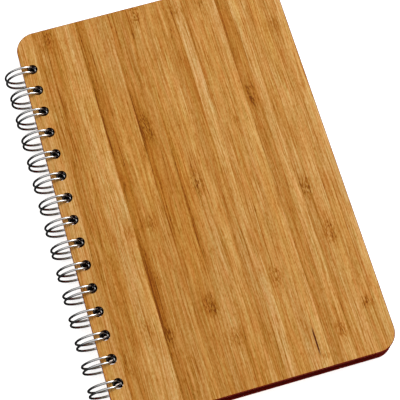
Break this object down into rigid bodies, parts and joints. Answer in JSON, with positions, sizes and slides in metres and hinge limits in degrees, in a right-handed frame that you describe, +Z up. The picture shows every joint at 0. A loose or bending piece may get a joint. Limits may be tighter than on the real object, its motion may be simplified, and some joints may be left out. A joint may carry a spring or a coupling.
{
  "type": "pocket notebook",
  "caption": "Pocket notebook with laminated bamboo covers and loose paper leaves on a silver twin-loop wire; cover, wire and leaves turn open.",
  "frame": {"origin": "centre of the closed book's footprint, on the table", "axes": "+X from the spine to the fore-edge, +Y up the page towards the head, +Z up from the table; the book leans about one degree down towards the fore-edge"},
  "size_m": [0.1044, 0.147, 0.0126],
  "materials": {
    "bamboo": "laminated bamboo strips, clear satin lacquer",
    "paper": "uncoated ivory paper, faint ruled lines",
    "wire": "bright silver plated steel wire"
  },
  "bodies": {
    "back_cover": {"back_cover": "bamboo"},
    "front_cover": {"front_cover": "bamboo"},
    "binding_wire": {"binding_wire": "wire"},
    "leaf_01": {"leaf_01": "paper"},
    "leaf_02": {"leaf_02": "paper"},
    "leaf_03": {"leaf_03": "paper"},
    "leaf_04": {"leaf_04": "paper"},
    "leaf_05": {"leaf_05": "paper"},
    "leaf_06": {"leaf_06": "paper"},
    "leaf_07": {"leaf_07": "paper"},
    "leaf_08": {"leaf_08": "paper"},
    "leaf_09": {"leaf_09": "paper"},
    "leaf_10": {"leaf_10": "paper"},
    "leaf_11": {"leaf_11": "paper"},
    "leaf_12": {"leaf_12": "paper"},
    "leaf_13": {"leaf_13": "paper"},
    "leaf_14": {"leaf_14": "paper"},
    "leaf_15": {"leaf_15": "paper"},
    "leaf_16": {"leaf_16": "paper"},
    "leaf_17": {"leaf_17": "paper"},
    "leaf_18": {"leaf_18": "paper"},
    "leaf_19": {"leaf_19": "paper"},
    "leaf_20": {"leaf_20": "paper"},
    "leaf_21": {"leaf_21": "paper"},
    "leaf_22": {"leaf_22": "paper"},
    "leaf_23": {"leaf_23": "paper"},
    "leaf_24": {"leaf_24": "paper"},
    "leaf_25": {"leaf_25": "paper"},
    "leaf_26": {"leaf_26": "paper"},
    "leaf_27": {"leaf_27": "paper"},
    "leaf_28": {"leaf_28": "paper"},
    "leaf_29": {"leaf_29": "paper"},
    "leaf_30": {"leaf_30": "paper"},
    "leaf_31": {"leaf_31": "paper"},
    "leaf_32": {"leaf_32": "paper"},
    "leaf_33": {"leaf_33": "paper"},
    "leaf_34": {"leaf_34": "paper"},
    "leaf_35": {"leaf_35": "paper"},
    "leaf_36": {"leaf_36": "paper"},
    "leaf_37": {"leaf_37": "paper"},
    "leaf_38": {"leaf_38": "paper"},
    "leaf_39": {"leaf_39": "paper"},
    "leaf_40": {"leaf_40": "paper"}
  },
  "joints": [
    {"name": "front_cover_hinge", "type": "hinge", "parent": "back_cover", "child": "front_cover", "pos_m": [-0.04588, 0, 0.0063], "axis": [0, -1, 0], "range_deg": [0, 182]},
    {"name": "binding_wire_turn", "type": "hinge", "parent": "back_cover", "child": "binding_wire", "pos_m": [-0.04588, 0, 0.0063], "axis": [0, -1, 0], "range_deg": [0, 179.83]},
    {"name": "leaf_01_turn", "type": "hinge", "parent": "back_cover", "child": "leaf_01", "pos_m": [-0.04588, 0, 0.0063], "axis": [0, -1, 0], "range_deg": [0, 177.46]},
    {"name": "leaf_02_turn", "type": "hinge", "parent": "back_cover", "child": "leaf_02", "pos_m": [-0.04588, 0, 0.0063], "axis": [0, -1, 0], "range_deg": [0, 177.01]},
    {"name": "leaf_03_turn", "type": "hinge", "parent": "back_cover", "child": "leaf_03", "pos_m": [-0.04588, 0, 0.0063], "axis": [0, -1, 0], "range_deg": [0, 176.55]},
    {"name": "leaf_04_turn", "type": "hinge", "parent": "back_cover", "child": "leaf_04", "pos_m": [-0.04588, 0, 0.0063], "axis": [0, -1, 0], "range_deg": [0, 176.1]},
    {"name": "leaf_05_turn", "type": "hinge", "parent": "back_cover", "child": "leaf_05", "pos_m": [-0.04588, 0, 0.0063], "axis": [0, -1, 0], "range_deg": [0, 175.64]},
    {"name": "leaf_06_turn", "type": "hinge", "parent": "back_cover", "child": "leaf_06", "pos_m": [-0.04588, 0, 0.0063], "axis": [0, -1, 0], "range_deg": [0, 175.19]},
    {"name": "leaf_07_turn", "type": "hinge", "parent": "back_cover", "child": "leaf_07", "pos_m": [-0.04588, 0, 0.0063], "axis": [0, -1, 0], "range_deg": [0, 174.73]},
    {"name": "leaf_08_turn", "type": "hinge", "parent": "back_cover", "child": "leaf_08", "pos_m": [-0.04588, 0, 0.0063], "axis": [0, -1, 0], "range_deg": [0, 174.28]},
    {"name": "leaf_09_turn", "type": "hinge", "parent": "back_cover", "child": "leaf_09", "pos_m": [-0.04588, 0, 0.0063], "axis": [0, -1, 0], "range_deg": [0, 173.82]},
    {"name": "leaf_10_turn", "type": "hinge", "parent": "back_cover", "child": "leaf_10", "pos_m": [-0.04588, 0, 0.0063], "axis": [0, -1, 0], "range_deg": [0, 173.37]},
    {"name": "leaf_11_turn", "type": "hinge", "parent": "back_cover", "child": "leaf_11", "pos_m": [-0.04588, 0, 0.0063], "axis": [0, -1, 0], "range_deg": [0, 172.91]},
    {"name": "leaf_12_turn", "type": "hinge", "parent": "back_cover", "child": "leaf_12", "pos_m": [-0.04588, 0, 0.0063], "axis": [0, -1, 0], "range_deg": [0, 172.46]},
    {"name": "leaf_13_turn", "type": "hinge", "parent": "back_cover", "child": "leaf_13", "pos_m": [-0.04588, 0, 0.0063], "axis": [0, -1, 0], "range_deg": [0, 172]},
    {"name": "leaf_14_turn", "type": "hinge", "parent": "back_cover", "child": "leaf_14", "pos_m": [-0.04588, 0, 0.0063], "axis": [0, -1, 0], "range_deg": [0, 171.55]},
    {"name": "leaf_15_turn", "type": "hinge", "parent": "back_cover", "child": "leaf_15", "pos_m": [-0.04588, 0, 0.0063], "axis": [0, -1, 0], "range_deg": [0, 171.09]},
    {"name": "leaf_16_turn", "type": "hinge", "parent": "back_cover", "child": "leaf_16", "pos_m": [-0.04588, 0, 0.0063], "axis": [0, -1, 0], "range_deg": [0, 170.64]},
    {"name": "leaf_17_turn", "type": "hinge", "parent": "back_cover", "child": "leaf_17", "pos_m": [-0.04588, 0, 0.0063], "axis": [0, -1, 0], "range_deg": [0, 170.18]},
    {"name": "leaf_18_turn", "type": "hinge", "parent": "back_cover", "child": "leaf_18", "pos_m": [-0.04588, 0, 0.0063], "axis": [0, -1, 0], "range_deg": [0, 169.73]},
    {"name": "leaf_19_turn", "type": "hinge", "parent": "back_cover", "child": "leaf_19", "pos_m": [-0.04588, 0, 0.0063], "axis": [0, -1, 0], "range_deg": [0, 149.25]},
    {"name": "leaf_20_turn", "type": "hinge", "parent": "back_cover", "child": "leaf_20", "pos_m": [-0.04588, 0, 0.0063], "axis": [0, -1, 0], "range_deg": [0, 112.85]},
    {"name": "leaf_21_turn", "type": "hinge", "parent": "back_cover", "child": "leaf_21", "pos_m": [-0.04588, 0, 0.0063], "axis": [0, -1, 0], "range_deg": [0, 69.17]},
    {"name": "leaf_22_turn", "type": "hinge", "parent": "back_cover", "child": "leaf_22", "pos_m": [-0.04588, 0, 0.0063], "axis": [0, -1, 0], "range_deg": [0, 32.77]},
    {"name": "leaf_23_turn", "type": "hinge", "parent": "back_cover", "child": "leaf_23", "pos_m": [-0.04588, 0, 0.0063], "axis": [0, -1, 0], "range_deg": [0, 8.66]},
    {"name": "leaf_24_turn", "type": "hinge", "parent": "back_cover", "child": "leaf_24", "pos_m": [-0.04588, 0, 0.0063], "axis": [0, -1, 0], "range_deg": [0, 8.2]},
    {"name": "leaf_25_turn", "type": "hinge", "parent": "back_cover", "child": "leaf_25", "pos_m": [-0.04588, 0, 0.0063], "axis": [0, -1, 0], "range_deg": [0, 7.75]},
    {"name": "leaf_26_turn", "type": "hinge", "parent": "back_cover", "child": "leaf_26", "pos_m": [-0.04588, 0, 0.0063], "axis": [0, -1, 0], "range_deg": [0, 7.29]},
    {"name": "leaf_27_turn", "type": "hinge", "parent": "back_cover", "child": "leaf_27", "pos_m": [-0.04588, 0, 0.0063], "axis": [0, -1, 0], "range_deg": [0, 6.84]},
    {"name": "leaf_28_turn", "type": "hinge", "parent": "back_cover", "child": "leaf_28", "pos_m": [-0.04588, 0, 0.0063], "axis": [0, -1, 0], "range_deg": [0, 6.39]},
    {"name": "leaf_29_turn", "type": "hinge", "parent": "back_cover", "child": "leaf_29", "pos_m": [-0.04588, 0, 0.0063], "axis": [0, -1, 0], "range_deg": [0, 5.93]},
    {"name": "leaf_30_turn", "type": "hinge", "parent": "back_cover", "child": "leaf_30", "pos_m": [-0.04588, 0, 0.0063], "axis": [0, -1, 0], "range_deg": [0, 5.47]},
    {"name": "leaf_31_turn", "type": "hinge", "parent": "back_cover", "child": "leaf_31", "pos_m": [-0.04588, 0, 0.0063], "axis": [0, -1, 0], "range_deg": [0, 5.02]},
    {"name": "leaf_32_turn", "type": "hinge", "parent": "back_cover", "child": "leaf_32", "pos_m": [-0.04588, 0, 0.0063], "axis": [0, -1, 0], "range_deg": [0, 4.56]},
    {"name": "leaf_33_turn", "type": "hinge", "parent": "back_cover", "child": "leaf_33", "pos_m": [-0.04588, 0, 0.0063], "axis": [0, -1, 0], "range_deg": [0, 4.11]},
    {"name": "leaf_34_turn", "type": "hinge", "parent": "back_cover", "child": "leaf_34", "pos_m": [-0.04588, 0, 0.0063], "axis": [0, -1, 0], "range_deg": [0, 3.65]},
    {"name": "leaf_35_turn", "type": "hinge", "parent": "back_cover", "child": "leaf_35", "pos_m": [-0.04588, 0, 0.0063], "axis": [0, -1, 0], "range_deg": [0, 3.2]},
    {"name": "leaf_36_turn", "type": "hinge", "parent": "back_cover", "child": "leaf_36", "pos_m": [-0.04588, 0, 0.0063], "axis": [0, -1, 0], "range_deg": [0, 2.74]},
    {"name": "leaf_37_turn", "type": "hinge", "parent": "back_cover", "child": "leaf_37", "pos_m": [-0.04588, 0, 0.0063], "axis": [0, -1, 0], "range_deg": [0, 2.29]},
    {"name": "leaf_38_turn", "type": "hinge", "parent": "back_cover", "child": "leaf_38", "pos_m": [-0.04588, 0, 0.0063], "axis": [0, -1, 0], "range_deg": [0, 1.83]},
    {"name": "leaf_39_turn", "type": "hinge", "parent": "back_cover", "child": "leaf_39", "pos_m": [-0.04588, 0, 0.0063], "axis": [0, -1, 0], "range_deg": [0, 1.38]},
    {"name": "leaf_40_turn", "type": "hinge", "parent": "back_cover", "child": "leaf_40", "pos_m": [-0.04588, 0, 0.0063], "axis": [0, -1, 0], "range_deg": [0, 0.92]}
  ],
  "couplings": [
    {"joint": "binding_wire_turn", "follows": "front_cover_hinge", "ratio": 0.988},
    {"joint": "leaf_01_turn", "follows": "front_cover_hinge", "ratio": 0.975},
    {"joint": "leaf_02_turn", "follows": "front_cover_hinge", "ratio": 0.9725},
    {"joint": "leaf_03_turn", "follows": "front_cover_hinge", "ratio": 0.97},
    {"joint": "leaf_04_turn", "follows": "front_cover_hinge", "ratio": 0.9675},
    {"joint": "leaf_05_turn", "follows": "front_cover_hinge", "ratio": 0.965},
    {"joint": "leaf_06_turn", "follows": "front_cover_hinge", "ratio": 0.9625},
    {"joint": "leaf_07_turn", "follows": "front_cover_hinge", "ratio": 0.96},
    {"joint": "leaf_08_turn", "follows": "front_cover_hinge", "ratio": 0.9575},
    {"joint": "leaf_09_turn", "follows": "front_cover_hinge", "ratio": 0.955},
    {"joint": "leaf_10_turn", "follows": "front_cover_hinge", "ratio": 0.9525},
    {"joint": "leaf_11_turn", "follows": "front_cover_hinge", "ratio": 0.95},
    {"joint": "leaf_12_turn", "follows": "front_cover_hinge", "ratio": 0.9475},
    {"joint": "leaf_13_turn", "follows": "front_cover_hinge", "ratio": 0.945},
    {"joint": "leaf_14_turn", "follows": "front_cover_hinge", "ratio": 0.9425},
    {"joint": "leaf_15_turn", "follows": "front_cover_hinge", "ratio": 0.94},
    {"joint": "leaf_16_turn", "follows": "front_cover_hinge", "ratio": 0.9375},
    {"joint": "leaf_17_turn", "follows": "front_cover_hinge", "ratio": 0.935},
    {"joint": "leaf_18_turn", "follows": "front_cover_hinge", "ratio": 0.9325},
    {"joint": "leaf_19_turn", "follows": "front_cover_hinge", "ratio": 0.82},
    {"joint": "leaf_20_turn", "follows": "front_cover_hinge", "ratio": 0.62},
    {"joint": "leaf_21_turn", "follows": "front_cover_hinge", "ratio": 0.38},
    {"joint": "leaf_22_turn", "follows": "front_cover_hinge", "ratio": 0.18},
    {"joint": "leaf_23_turn", "follows": "front_cover_hinge", "ratio": 0.0475},
    {"joint": "leaf_24_turn", "follows": "front_cover_hinge", "ratio": 0.045},
    {"joint": "leaf_25_turn", "follows": "front_cover_hinge", "ratio": 0.0425},
    {"joint": "leaf_26_turn", "follows": "front_cover_hinge", "ratio": 0.04},
    {"joint": "leaf_27_turn", "follows": "front_cover_hinge", "ratio": 0.0375},
    {"joint": "leaf_28_turn", "follows": "front_cover_hinge", "ratio": 0.035},
    {"joint": "leaf_29_turn", "follows": "front_cover_hinge", "ratio": 0.0325},
    {"joint": "leaf_30_turn", "follows": "front_cover_hinge", "ratio": 0.03},
    {"joint": "leaf_31_turn", "follows": "front_cover_hinge", "ratio": 0.0275},
    {"joint": "leaf_32_turn", "follows": "front_cover_hinge", "ratio": 0.025},
    {"joint": "leaf_33_turn", "follows": "front_cover_hinge", "ratio": 0.0225},
    {"joint": "leaf_34_turn", "follows": "front_cover_hinge", "ratio": 0.02},
    {"joint": "leaf_35_turn", "follows": "front_cover_hinge", "ratio": 0.0175},
    {"joint": "leaf_36_turn", "follows": "front_cover_hinge", "ratio": 0.015},
    {"joint": "leaf_37_turn", "follows": "front_cover_hinge", "ratio": 0.0125},
    {"joint": "leaf_38_turn", "follows": "front_cover_hinge", "ratio": 0.01},
    {"joint": "leaf_39_turn", "follows": "front_cover_hinge", "ratio": 0.0075},
    {"joint": "leaf_40_turn", "follows": "front_cover_hinge", "ratio": 0.005}
  ]
}
